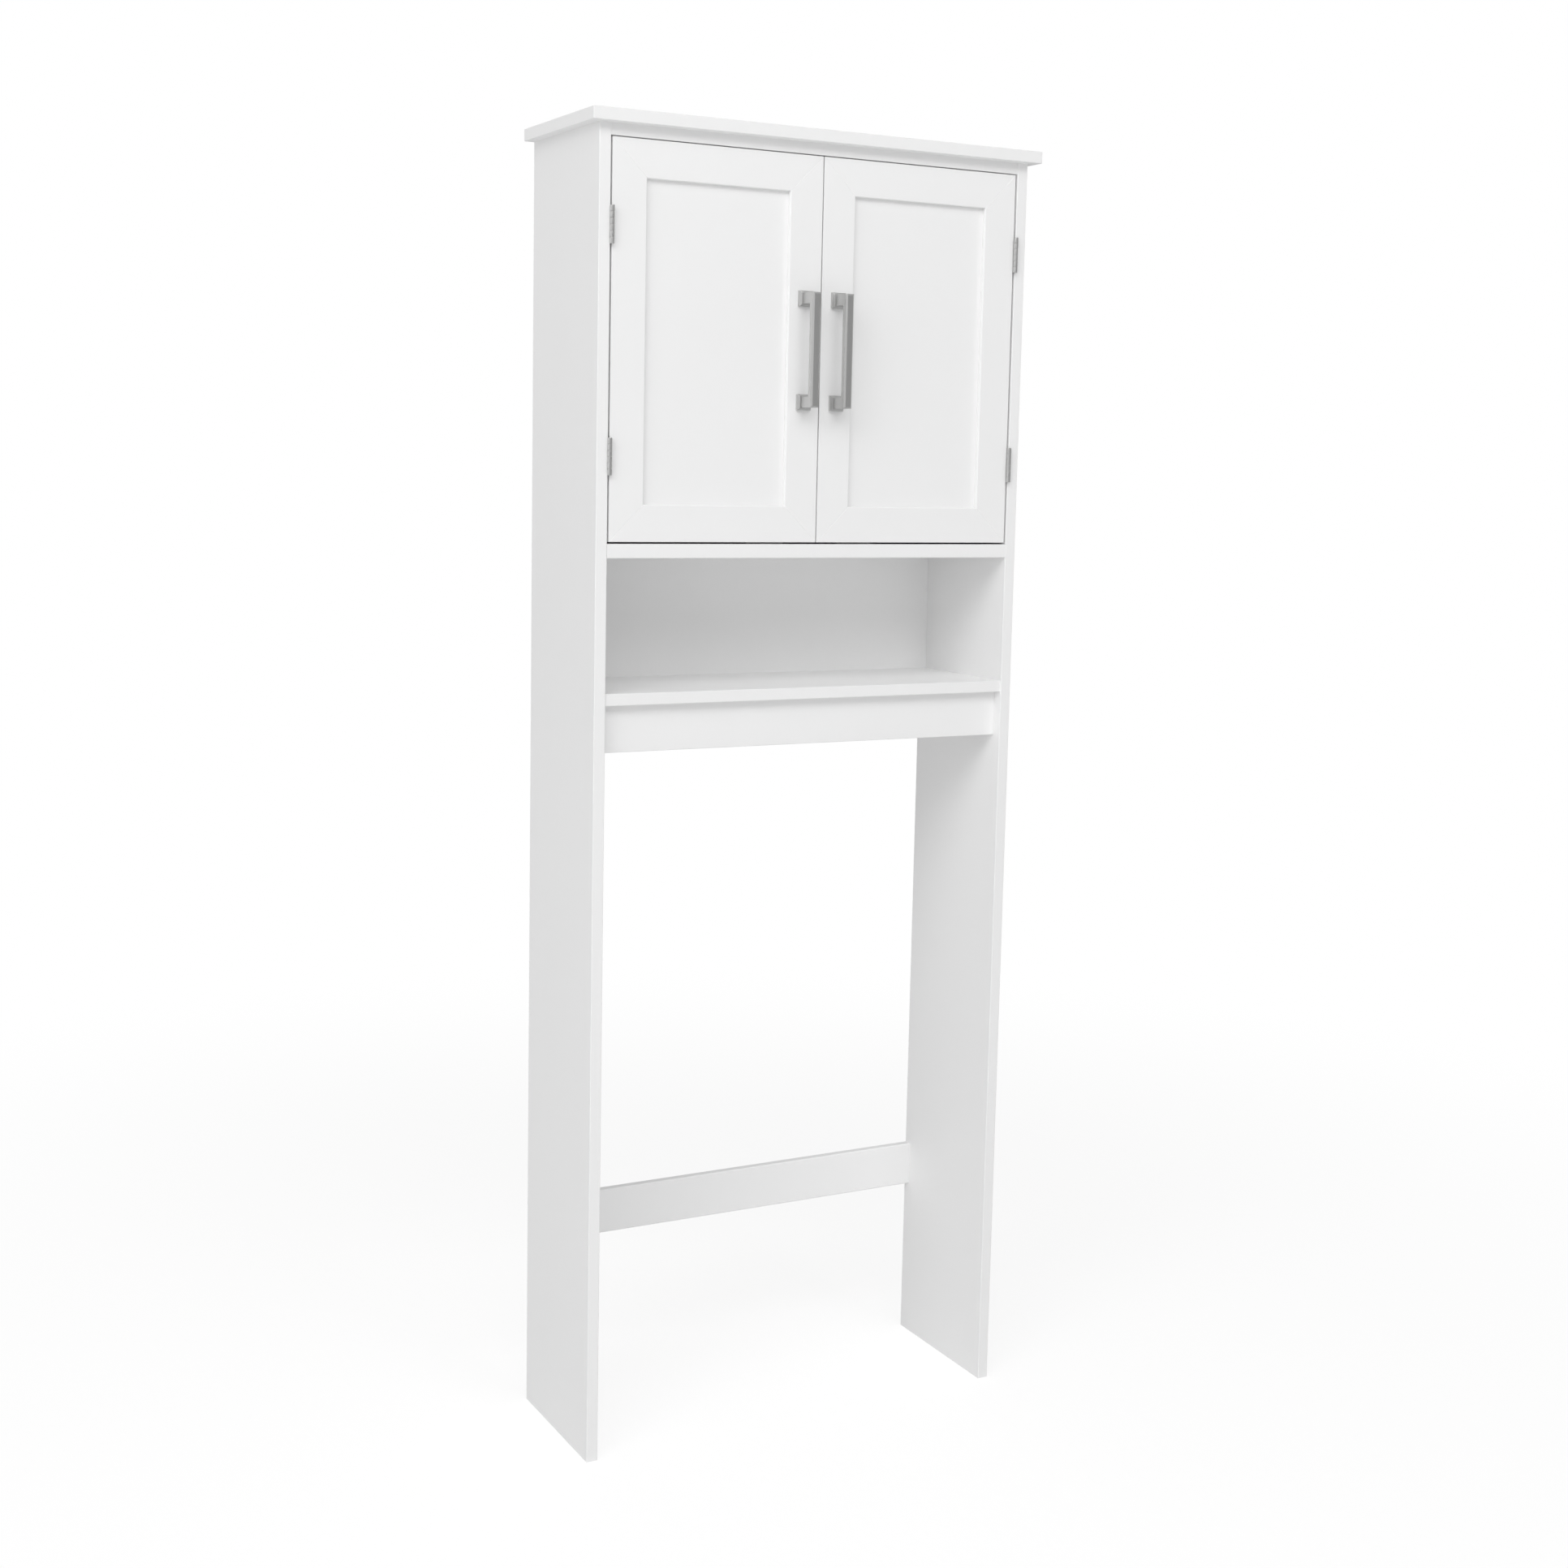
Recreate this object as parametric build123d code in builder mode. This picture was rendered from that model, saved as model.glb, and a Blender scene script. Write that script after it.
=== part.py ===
from build123d import *
from math import radians, tan
import os

# Cabinet that stands over a toilet: two tall side panels carry a two-door cabinet, an open niche
# below it and a rear stretcher near the floor. Millimetres, X to the right seen from the front,
# Y to the back, Z up. The origin is on the floor, halfway across the width and the whole depth.

# Carcass
overall_height = 1676.0
outer_width = 607.0
panel_depth = 210.0
board = 15.0
floor_board = 17.5
top_overhang = 13.5
edge_ease = 1.0
rail_height = 14.4
niche_floor = 981.7
niche_height = 165.3
shelf_setback = 2.0
apron_height = 59.5
apron_setback = 15.0
stretcher_bottom = 221.0
stretcher_height = 60.5
stretcher_thick = 12.0
stretcher_ease = 2.0

# Back panel, let into grooves
back_thick = 5.0
back_inset = 12.5
groove_depth = 6.0
groove_play = 0.15

# Adjustable shelf inside the cabinet
inner_shelf_rise = 225.0
inner_shelf_setback = 12.0
inner_shelf_play = 0.8
pin_radius = 2.5
pin_head_radius = 3.5
pin_head_length = 9.0
pin_flat = 1.0
pin_depth = 8.0
pin_inset = 32.0
pin_pitch = 32.0

# Doors: mitred frames round a recessed panel
door_setback = 1.0
door_thick = 15.0
door_gap_side = 2.4
door_gap_centre = 1.6
door_gap_top = 1.3
door_gap_bottom = 2.3
frame_width = 45.5
frame_ease = 0.4
opening_ease = 1.5
recess_depth = 6.0
door_panel_thick = 4.0
tongue = 7.0
tongue_end_play = 0.5

# Bar pulls
pull_centres = 128.0
pull_projection = 33.0
pull_base = 19.5
pull_base_thick = 6.5
pull_base_bevel = 2.6
pull_leg = 13.6
pull_width = 11.6
bar_depth = 8.5
bar_bevel = 2.0

# Butt hinges
hinge_length = 45.0
hinge_inset = 102.6
hinge_stand_off = 3.0
knuckles = 6
knuckle_gap = 0.3
knuckle_radius = 2.75
hinge_pin_radius = 1.3
pin_clearance = 0.05
leaf_thick = 1.0
leaf_depth = 12.0
leaf_clear = 0.3
leaf_screw_pitch = 27.0
leaf_screw_inset = 7.0

# Screws
wood_screw_radius = 1.5
wood_screw_length = 11.0
pan_head_radius = 2.9
pan_head_height = 1.8
pull_screw_radius = 2.0
pull_screw_bite = 12.0
pull_screw_head_radius = 4.0
pull_screw_head_height = 2.4
countersink_angle = 90.0
fit = 0.1

# Cam locks, cam bolts and dowels
cam_radius = 7.5
cam_skin = 2.5
cam_reach = 24.0
cam_inset = 45.0
cam_cross = 4.5
cam_cross_width = 1.4
cam_cross_depth = 1.6
bolt_thread_radius = 2.5
bolt_thread_depth = 10.0
bolt_head_radius = 3.2
bolt_head_length = 3.0
dowel_radius = 3.0
dowel_in_panel = 9.0
dowel_in_board = 19.0
dowel_end_play = 0.2
dowel_pitch = 32.0

# Magnetic catches and their strike plates
strike_width = 30.0
strike_height = 14.0
strike_thick = 1.2
strike_rise = 14.0
strike_margin = 4.0
catch_air = 0.3
catch_body_width = 30.0
catch_foot_width = 52.0
catch_foot_thick = 3.0
catch_depth = 13.0
catch_height = 24.0
magnet_width = 22.0
magnet_height = 11.0
magnet_depth = 8.0
magnet_proud = 0.4

# Faces and levels that follow from the sizes
half_width = outer_width / 2
inner = half_width - board
total_depth = panel_depth + pull_projection - door_setback
back = total_depth / 2
front = back - panel_depth
back_face = back - back_inset - back_thick
door_face = front + door_setback
door_back = door_face + door_thick
top_under = overall_height - board
shelf_under = niche_floor - board
floor_under = niche_floor + niche_height
floor_top = floor_under + floor_board
apron_bottom = shelf_under - apron_height
door_bottom = floor_top + door_gap_bottom
door_top = top_under - rail_height - door_gap_top
door_middle = (door_bottom + door_top) / 2
door_outer = -inner + door_gap_side
door_inner = -door_gap_centre / 2
panel_front = door_face + recess_depth
inner_shelf_under = floor_top + inner_shelf_rise
pull_x = door_inner - frame_width / 2
pull_levels = [door_middle - pull_centres / 2, door_middle + pull_centres / 2]

# Hinge axes, leaves and levels on the left side
hinge_x = -inner + door_gap_side / 2
hinge_y = front - hinge_stand_off
hinge_levels = {"lower": door_bottom + hinge_inset, "upper": door_top - hinge_inset}
case_leaf_x = -inner
door_leaf_x = door_outer - leaf_thick
leaf_screw_y = front + leaf_screw_inset
leaf_screw_offsets = (-leaf_screw_pitch / 2, leaf_screw_pitch / 2)
leaf_screw_points = [
    (leaf_screw_y, level + offset) for level in hinge_levels.values() for offset in leaf_screw_offsets
]

# Points (y, z) on a side panel's inner face where boards and fittings join it
cam_rows = [front + cam_inset, back_face - cam_inset]
board_levels = [shelf_under + board / 2, floor_under + board / 2]
cam_points = [(y, z) for y in cam_rows for z in board_levels]
shelf_dowels = [((front + back_face) / 2, board_levels[0])]
floor_dowels = [((front + back_face) / 2, board_levels[1])]
rail_dowels = [(door_face + board / 2, top_under - rail_height / 2)]
apron_dowels = [
    (front + apron_setback + board / 2, shelf_under - apron_height / 2 + offset)
    for offset in (-dowel_pitch / 2, dowel_pitch / 2)
]
stretcher_dowels = [
    (back - stretcher_thick / 2, stretcher_bottom + stretcher_height / 2 + offset)
    for offset in (-dowel_pitch / 2, dowel_pitch / 2)
]
side_dowels = shelf_dowels + floor_dowels + rail_dowels + apron_dowels + stretcher_dowels
top_dowel_y = (front + back_face) / 2
pin_rows = [door_back + inner_shelf_setback + pin_inset, back_face - inner_shelf_play - pin_inset]
pin_level = inner_shelf_under - pin_flat
pin_points = [(y, pin_level) for y in pin_rows]
pin_holes = [(y, pin_level + step * pin_pitch) for y in pin_rows for step in (-1, 0, 1)]

# Catch and strike places on the left door
catch_x = door_inner - frame_width - strike_margin - strike_width / 2
strike_level = door_bottom + strike_rise
catch_front = door_back + strike_thick + catch_air + magnet_proud
catch_ear = (catch_foot_width - catch_body_width) / 2
catch_screw_y = catch_front + catch_depth / 2
catch_screw_x = [catch_x + side * (catch_body_width + catch_ear) / 2 for side in (-1, 1)]

os.makedirs("parts", exist_ok=True)


def save(piece, name):
    """Label one finished piece and write it to its own file."""
    piece.label = name
    export_step(piece, f"parts/{name}.step")


def save_pair(piece, name):
    """Write a left-hand piece and its mirror image on the right."""
    with BuildPart() as right:
        mirror(piece, about=Plane.YZ)
    save(piece, f"left_{name}")
    save(right.part, f"right_{name}")


def on_side(points, x=-inner, direction=1):
    """Planes at (y, z) points of an upright face at x that looks along X."""
    return [Plane((x, y, z), z_dir=(direction, 0, 0)) for y, z in points]


def cam_planes():
    """Planes of the left cam joints: Z runs from the bolt's thread to the cam, X to the cam's face."""
    boards = [Plane((-inner, y, z), x_dir=(0, 0, -1), z_dir=(1, 0, 0)) for y, z in cam_points]
    top_x = -half_width + board / 2
    tops = [Plane((top_x, y, top_under), x_dir=(1, 0, 0), z_dir=(0, 0, -1)) for y in cam_rows]
    return boards, tops


def bore_board_ends(dowels):
    """Bore the dowel holes into both ends of the board that is being made."""
    with Locations(*on_side(dowels, -inner, -1), *on_side(dowels, inner, 1)):
        Hole(dowel_radius + fit, dowel_in_board)


def bore_cams(planes):
    """Bore the cam pockets and the bolt passages of the given joints."""
    for plane in planes:
        cam_centre = plane.origin + plane.z_dir * cam_reach + plane.x_dir * (board / 2)
        with Locations(Plane(cam_centre, z_dir=plane.x_dir)):
            Hole(cam_radius + fit, board - cam_skin + fit)
        with Locations(Plane(plane.origin, z_dir=-plane.z_dir)):
            Hole(bolt_head_radius + fit, cam_reach)


def both_sides(planes):
    """The given left-hand planes with their mirror images on the right."""
    mirrored = [
        Plane(
            (-p.origin.X, p.origin.Y, p.origin.Z),
            x_dir=(-p.x_dir.X, p.x_dir.Y, p.x_dir.Z),
            z_dir=(-p.z_dir.X, p.z_dir.Y, p.z_dir.Z),
        )
        for p in planes
    ]
    return planes + mirrored


board_cams, top_cams = cam_planes()

# Side panel: a tall board with a groove for the back panel and bores for every joint
with BuildPart() as side_panel:
    with BuildSketch(Plane.YZ.offset(-half_width)):
        with Locations((front, 0)):
            Rectangle(panel_depth, top_under, align=(Align.MIN, Align.MIN))
    extrude(amount=board)
    fillet(side_panel.edges().filter_by(Axis.Z), edge_ease)
    with BuildSketch(Plane.YZ.offset(-inner)):
        with Locations((back_face - groove_play, shelf_under)):
            Rectangle(back_thick + 2 * groove_play, top_under - shelf_under, align=(Align.MIN, Align.MIN))
    extrude(amount=-groove_depth, mode=Mode.SUBTRACT)
    with Locations(*on_side(side_dowels)):
        Hole(dowel_radius + fit, dowel_in_panel)
    with Locations(*on_side(cam_points)):
        Hole(bolt_thread_radius + fit, bolt_thread_depth + fit)
    with Locations(*on_side(pin_holes)):
        Hole(pin_radius + fit, pin_depth + fit)
    with Locations(*on_side(leaf_screw_points)):
        Hole(wood_screw_radius + fit, wood_screw_length - leaf_thick + fit)
    with Locations(Plane((-half_width + board / 2, top_dowel_y, top_under))):
        Hole(dowel_radius + fit, dowel_in_board)
    bore_cams(top_cams)
save_pair(side_panel.part, "side_panel")

# Top board: overhangs the front and both sides, flush at the back
with BuildPart() as top_board:
    with BuildSketch(Plane.XY.offset(top_under)):
        with Locations((0, back)):
            Rectangle(
                outer_width + 2 * top_overhang,
                panel_depth + top_overhang,
                align=(Align.CENTER, Align.MAX),
            )
    extrude(amount=board)
    fillet(top_board.edges(), edge_ease)
    with BuildSketch(Plane.XY.offset(top_under)):
        with Locations((0, back_face - groove_play)):
            Rectangle(
                2 * (inner + groove_depth),
                back_thick + 2 * groove_play,
                align=(Align.CENTER, Align.MIN),
            )
    extrude(amount=groove_depth, mode=Mode.SUBTRACT)
    for plane in both_sides(top_cams):
        with Locations(Plane(plane.origin, z_dir=plane.z_dir)):
            Hole(bolt_thread_radius + fit, bolt_thread_depth + fit)
    for side in (-1, 1):
        with Locations(Plane((side * (half_width - board / 2), top_dowel_y, top_under), z_dir=(0, 0, -1))):
            Hole(dowel_radius + fit, dowel_in_panel)
save(top_board.part, "top_board")

# Top front rail: a slim strip that closes the front above the doors
with BuildPart() as top_front_rail:
    with BuildSketch(Plane.XY.offset(top_under - rail_height)):
        with Locations((0, door_face)):
            Rectangle(2 * inner, board, align=(Align.CENTER, Align.MIN))
    extrude(amount=rail_height)
    fillet(top_front_rail.edges().filter_by(Axis.X).group_by(Axis.Z)[0], edge_ease)
    bore_board_ends(rail_dowels)
save(top_front_rail.part, "top_front_rail")

# Cabinet floor and open shelf: boards between the sides, up to the back panel
with BuildPart() as cabinet_floor:
    with BuildSketch(Plane.XY.offset(floor_under)):
        with Locations((0, front)):
            Rectangle(2 * inner, back_face - front, align=(Align.CENTER, Align.MIN))
    extrude(amount=floor_board)
    fillet(cabinet_floor.edges().filter_by(Axis.X).group_by(Axis.Y)[0], edge_ease)
    bore_board_ends(floor_dowels)
    bore_cams([plane for plane in both_sides(board_cams) if plane.origin.Z > floor_under])
    for x in catch_screw_x:
        with Locations(Plane((x, catch_screw_y, floor_top)), Plane((-x, catch_screw_y, floor_top))):
            Hole(wood_screw_radius + fit, wood_screw_length - catch_foot_thick + fit)
save(cabinet_floor.part, "cabinet_floor")

with BuildPart() as open_shelf:
    with BuildSketch(Plane.XY.offset(shelf_under)):
        with Locations((0, front + shelf_setback)):
            Rectangle(2 * inner, back_face - front - shelf_setback, align=(Align.CENTER, Align.MIN))
    extrude(amount=board)
    fillet(open_shelf.edges().filter_by(Axis.X).group_by(Axis.Y)[0], edge_ease)
    bore_board_ends(shelf_dowels)
    bore_cams([plane for plane in both_sides(board_cams) if plane.origin.Z < floor_under])
save(open_shelf.part, "open_shelf")

# Apron rail: stands on edge under the open shelf, set back from the front
with BuildPart() as apron_rail:
    with BuildSketch(Plane.XY.offset(apron_bottom)):
        with Locations((0, front + apron_setback)):
            Rectangle(2 * inner, board, align=(Align.CENTER, Align.MIN))
    extrude(amount=apron_height)
    fillet(apron_rail.edges().filter_by(Axis.X).group_by(Axis.Z)[0], edge_ease)
    bore_board_ends(apron_dowels)
save(apron_rail.part, "apron_rail")

# Rear stretcher: a rounded strip that ties the sides together behind the toilet
with BuildPart() as rear_stretcher:
    with BuildSketch(Plane.XY.offset(stretcher_bottom)):
        with Locations((0, back)):
            Rectangle(2 * inner, stretcher_thick, align=(Align.CENTER, Align.MAX))
    extrude(amount=stretcher_height)
    fillet(rear_stretcher.edges().filter_by(Axis.X), stretcher_ease)
    bore_board_ends(stretcher_dowels)
save(rear_stretcher.part, "rear_stretcher")

# Back panel: a thin sheet that slides down the grooves of the sides and into the top
with BuildPart() as back_panel:
    with BuildSketch(Plane.XZ.offset(-back_face)):
        with Locations((0, shelf_under)):
            Rectangle(
                2 * (inner + groove_depth - groove_play),
                top_under - shelf_under + groove_depth - groove_play,
                align=(Align.CENTER, Align.MIN),
            )
    extrude(amount=-back_thick)
save(back_panel.part, "back_panel")

# Adjustable shelf and its four pins: a round shank in the side, a flat-topped head under the shelf
with BuildPart() as inner_shelf:
    with BuildSketch(Plane.XY.offset(inner_shelf_under)):
        with Locations((0, door_back + inner_shelf_setback)):
            Rectangle(
                2 * (inner - inner_shelf_play),
                back_face - inner_shelf_play - door_back - inner_shelf_setback,
                align=(Align.CENTER, Align.MIN),
            )
    extrude(amount=board)
    fillet(inner_shelf.edges().filter_by(Axis.X).group_by(Axis.Y)[0], edge_ease)
save(inner_shelf.part, "inner_shelf")

with BuildPart() as shelf_pins:
    with BuildSketch(Plane.YZ.offset(-inner)):
        with Locations(*pin_points):
            Circle(pin_radius)
    extrude(amount=-pin_depth)
    for y, z in pin_points:
        with BuildSketch(Plane.YZ.offset(-inner)):
            with Locations((y, z)):
                Circle(pin_head_radius)
            with Locations((y, z + pin_flat)):
                Rectangle(
                    2 * pin_head_radius, pin_head_radius, align=(Align.CENTER, Align.MIN), mode=Mode.SUBTRACT
                )
        extrude(amount=pin_head_length)
    mirror(about=Plane.YZ)
save(shelf_pins.part, "shelf_pins")

# Cam lock: a disc with a radial slot for the bolt's head and a cross for the screwdriver
cam_depth = board - cam_skin
with BuildPart() as cam_lock:
    with BuildSketch(Plane.YZ.offset(board / 2)):
        with Locations((0, cam_reach)):
            Circle(cam_radius)
    extrude(amount=-cam_depth)
    with BuildSketch(Plane.XY.offset(cam_reach - cam_radius)):
        Rectangle(2 * (bolt_head_radius + fit), 2 * (bolt_head_radius + fit))
    extrude(amount=cam_radius + bolt_head_length / 2 + fit, mode=Mode.SUBTRACT)
    with BuildSketch(Plane.YZ.offset(board / 2)):
        with Locations((0, cam_reach)):
            Rectangle(2 * cam_cross, cam_cross_width)
            Rectangle(cam_cross_width, 2 * cam_cross)
    extrude(amount=-cam_cross_depth, mode=Mode.SUBTRACT)

# Cam bolt: a slim shank, threaded into the board it pulls on, with a round head in the cam
bolt_tip = cam_reach + bolt_head_length / 2
with BuildPart() as cam_bolt:
    with BuildSketch(Plane.XZ):
        with BuildLine():
            Polyline(
                (0, -bolt_thread_depth),
                (bolt_thread_radius, -bolt_thread_depth),
                (bolt_thread_radius, bolt_tip - bolt_head_length),
                (bolt_head_radius, bolt_tip - bolt_head_length),
                (bolt_head_radius, bolt_tip),
                (0, bolt_tip),
                close=True,
            )
        make_face()
    revolve(axis=Axis.Z)

for fitting, name in ((cam_lock, "cam_locks"), (cam_bolt, "cam_bolts")):
    with BuildPart() as fittings:
        with Locations(*both_sides(board_cams + top_cams)):
            add(fitting.part)
    save(fittings.part, name)

# Wood dowels: half in a side panel, half in the board or rail that meets it
with BuildPart() as wood_dowels:
    with Locations(*on_side(side_dowels, -inner - dowel_in_panel + dowel_end_play, 1)):
        Cylinder(
            dowel_radius,
            dowel_in_panel + dowel_in_board - 2 * dowel_end_play,
            align=(Align.CENTER, Align.CENTER, Align.MIN),
        )
    with Locations((-half_width + board / 2, top_dowel_y, top_under + dowel_in_panel - dowel_end_play)):
        Cylinder(
            dowel_radius,
            dowel_in_panel + dowel_in_board - 2 * dowel_end_play,
            align=(Align.CENTER, Align.CENTER, Align.MAX),
        )
    mirror(about=Plane.YZ)
save(wood_dowels.part, "wood_dowels")


def frame_member(outer_start, outer_end, inner_end, inner_start):
    """One mitred member of a door frame, grooved for the panel, from its four front corners (x, z).

    Half of it is drawn and eased at its mitred end, and the other half is its mirror image.
    """
    outer_middle = ((outer_start[0] + outer_end[0]) / 2, (outer_start[1] + outer_end[1]) / 2)
    inner_middle = ((inner_start[0] + inner_end[0]) / 2, (inner_start[1] + inner_end[1]) / 2)
    along = (outer_end[0] - outer_start[0], 0, outer_end[1] - outer_start[1])
    with BuildPart() as member:
        with BuildSketch(Plane.XZ.offset(-door_face)):
            Polygon(outer_start, outer_middle, inner_middle, inner_start, align=None)
        extrude(amount=-door_thick)
        opening = ((inner_start[0] + inner_middle[0]) / 2, door_face, (inner_start[1] + inner_middle[1]) / 2)
        fillet(member.edges().sort_by_distance(opening)[0], opening_ease)
        face_edges = member.faces().sort_by(Axis.Y)[0].edges()
        outer_corner = (outer_start[0], door_face, outer_start[1])
        chamfer(face_edges.sort_by_distance(outer_corner)[:2], frame_ease)
        mirror(about=Plane((outer_middle[0], door_face, outer_middle[1]), z_dir=along))
        with BuildSketch(Plane.XZ.offset(-(panel_front - groove_play))):
            with Locations(((door_outer + door_inner) / 2, door_middle)):
                Rectangle(
                    door_inner - door_outer - 2 * (frame_width - tongue),
                    door_top - door_bottom - 2 * (frame_width - tongue),
                )
        extrude(amount=-(door_panel_thick + 2 * groove_play), mode=Mode.SUBTRACT)
    return member.part


# Door frame: four members meet at mitred corners
outer_corners = [
    (door_outer, door_bottom), (door_outer, door_top), (door_inner, door_top), (door_inner, door_bottom)
]
inner_corners = [
    (door_outer + frame_width, door_bottom + frame_width),
    (door_outer + frame_width, door_top - frame_width),
    (door_inner - frame_width, door_top - frame_width),
    (door_inner - frame_width, door_bottom + frame_width),
]
members = {}
for index, name in enumerate(("hinge_stile", "door_top_rail", "pull_stile", "door_bottom_rail")):
    following = (index + 1) % 4
    members[name] = frame_member(
        outer_corners[index], outer_corners[following], inner_corners[following], inner_corners[index]
    )

# Bores in the frame for the hinge screws, the pull screws and the strike plate's screw
with BuildPart() as hinge_stile:
    add(members["hinge_stile"])
    with Locations(*on_side(leaf_screw_points, door_outer, -1)):
        Hole(wood_screw_radius + fit, wood_screw_length - leaf_thick + fit)
save_pair(hinge_stile.part, "hinge_stile")

with BuildPart() as pull_stile:
    add(members["pull_stile"])
    for level in pull_levels:
        with Locations(Plane((pull_x, door_back, level), z_dir=(0, 1, 0))):
            Hole(pull_screw_radius + fit, door_thick)
save_pair(pull_stile.part, "pull_stile")

with BuildPart() as door_bottom_rail:
    add(members["door_bottom_rail"])
    with Locations(Plane((catch_x, door_back, strike_level), z_dir=(0, 1, 0))):
        Hole(wood_screw_radius + fit, wood_screw_length - strike_thick + fit)
save_pair(door_bottom_rail.part, "door_bottom_rail")
save_pair(members["door_top_rail"], "door_top_rail")

# Door panel: a flat sheet held in the grooves of the frame
with BuildPart() as door_panel:
    with BuildSketch(Plane.XZ.offset(-panel_front)):
        with Locations(((door_outer + door_inner) / 2, door_middle)):
            Rectangle(
                door_inner - door_outer - 2 * (frame_width - tongue + tongue_end_play),
                door_top - door_bottom - 2 * (frame_width - tongue + tongue_end_play),
            )
    extrude(amount=-door_panel_thick)
save_pair(door_panel.part, "door_panel")

# Bar pull: two bevelled square bases, two legs and a square bar with a bevelled front
with BuildPart() as pull:
    with BuildSketch(Plane.YZ.offset(pull_x)):
        with Locations((door_face, door_middle)):
            Rectangle(pull_projection, pull_centres + pull_leg, align=(Align.MAX, Align.CENTER))
            Rectangle(
                pull_projection - bar_depth,
                pull_centres - pull_leg,
                align=(Align.MAX, Align.CENTER),
                mode=Mode.SUBTRACT,
            )
    extrude(amount=pull_width / 2, both=True)
    chamfer(pull.faces().sort_by(Axis.Y)[0].edges(), bar_bevel)
    for level in pull_levels:
        with BuildSketch(Plane.XZ.offset(-door_face)):
            with Locations((pull_x, level)):
                Rectangle(pull_base, pull_base)
        extrude(amount=pull_base_thick - pull_base_bevel)
        with BuildSketch(Plane.XZ.offset(-door_face + pull_base_thick - pull_base_bevel)):
            with Locations((pull_x, level)):
                Rectangle(pull_base, pull_base)
        with BuildSketch(Plane.XZ.offset(-door_face + pull_base_thick)):
            with Locations((pull_x, level)):
                Rectangle(pull_base - 2 * pull_base_bevel, pull_base - 2 * pull_base_bevel)
        loft(ruled=True)
        with Locations(Plane((pull_x, door_face, level), z_dir=(0, 1, 0))):
            Hole(pull_screw_radius + fit, pull_screw_bite + fit)
save_pair(pull.part, "pull")

# Pull screws: pan heads behind the stile, threads in the pull's legs
with BuildPart() as pull_screws:
    for level in pull_levels:
        with BuildSketch(Plane.XZ.offset(-door_back)):
            with Locations((pull_x, level)):
                Circle(pull_screw_head_radius)
        extrude(amount=-pull_screw_head_height)
        with BuildSketch(Plane.XZ.offset(-door_back)):
            with Locations((pull_x, level)):
                Circle(pull_screw_radius)
        extrude(amount=door_thick + pull_screw_bite)
save_pair(pull_screws.part, "pull_screws")


def screw_head_radius(plate):
    """Head radius of a wood screw that fills the countersink of a plate this thick."""
    return wood_screw_radius + plate * tan(radians(countersink_angle / 2))


def countersink(plate):
    """Bore the countersunk screw holes of the plate that is being made."""
    CounterSinkHole(
        wood_screw_radius + fit,
        screw_head_radius(plate) + fit,
        plate,
        counter_sink_angle=countersink_angle,
    )


def countersunk_screw(plate):
    """Wood screw for a plate this thick, head face at Z zero, shank downwards."""
    with BuildPart() as screw:
        with BuildSketch(Plane.XZ):
            with BuildLine():
                Polyline(
                    (0, 0),
                    (screw_head_radius(plate), 0),
                    (wood_screw_radius, -plate),
                    (wood_screw_radius, -wood_screw_length),
                    (0, -wood_screw_length),
                    close=True,
                )
            make_face()
        revolve(axis=Axis.Z)
    return screw.part


def hinge_leaf(middle, leaf_x, first_knuckle, screw_side):
    """One leaf of a left-hand butt hinge: a plate that rolls into every second knuckle."""
    pitch = hinge_length / knuckles
    plate_front = front + leaf_clear
    with BuildPart() as leaf:
        with BuildSketch(Plane.YZ.offset(leaf_x)):
            with Locations((plate_front, middle)):
                Rectangle(leaf_depth, hinge_length, align=(Align.MIN, Align.CENTER))
        extrude(amount=leaf_thick)
        for index in range(first_knuckle, knuckles, 2):
            with BuildSketch(Plane.XY.offset(middle - hinge_length / 2 + index * pitch + knuckle_gap / 2)):
                with Locations((leaf_x, hinge_y)):
                    Rectangle(leaf_thick, plate_front - hinge_y, align=(Align.MIN, Align.MIN))
                with Locations((hinge_x, hinge_y)):
                    Circle(knuckle_radius)
                    Circle(hinge_pin_radius + pin_clearance, mode=Mode.SUBTRACT)
            extrude(amount=pitch - knuckle_gap)
        screw_face = leaf_x + leaf_thick if screw_side > 0 else leaf_x
        screw_points = [(leaf_screw_y, middle + offset) for offset in leaf_screw_offsets]
        with Locations(*on_side(screw_points, screw_face, screw_side)):
            countersink(leaf_thick)
    return leaf.part


# Butt hinges: the case leaf on the side panel, the door leaf on the stile's edge, a plain pin
for place, level in hinge_levels.items():
    save_pair(hinge_leaf(level, case_leaf_x, 0, 1), f"{place}_case_leaf")
    save_pair(hinge_leaf(level, door_leaf_x, 1, -1), f"{place}_door_leaf")
    with BuildPart() as hinge_pin:
        with BuildSketch(Plane.XY.offset(level - hinge_length / 2)):
            with Locations((hinge_x, hinge_y)):
                Circle(hinge_pin_radius)
        extrude(amount=hinge_length)
    save_pair(hinge_pin.part, f"{place}_hinge_pin")

# Hinge screws: four in each side panel, four in the edge of each door
with BuildPart() as case_hinge_screws:
    with Locations(*both_sides(on_side(leaf_screw_points, case_leaf_x + leaf_thick))):
        add(countersunk_screw(leaf_thick))
save(case_hinge_screws.part, "case_hinge_screws")

with BuildPart() as door_hinge_screws:
    with Locations(*on_side(leaf_screw_points, door_leaf_x, -1)):
        add(countersunk_screw(leaf_thick))
save_pair(door_hinge_screws.part, "door_hinge_screws")

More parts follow.
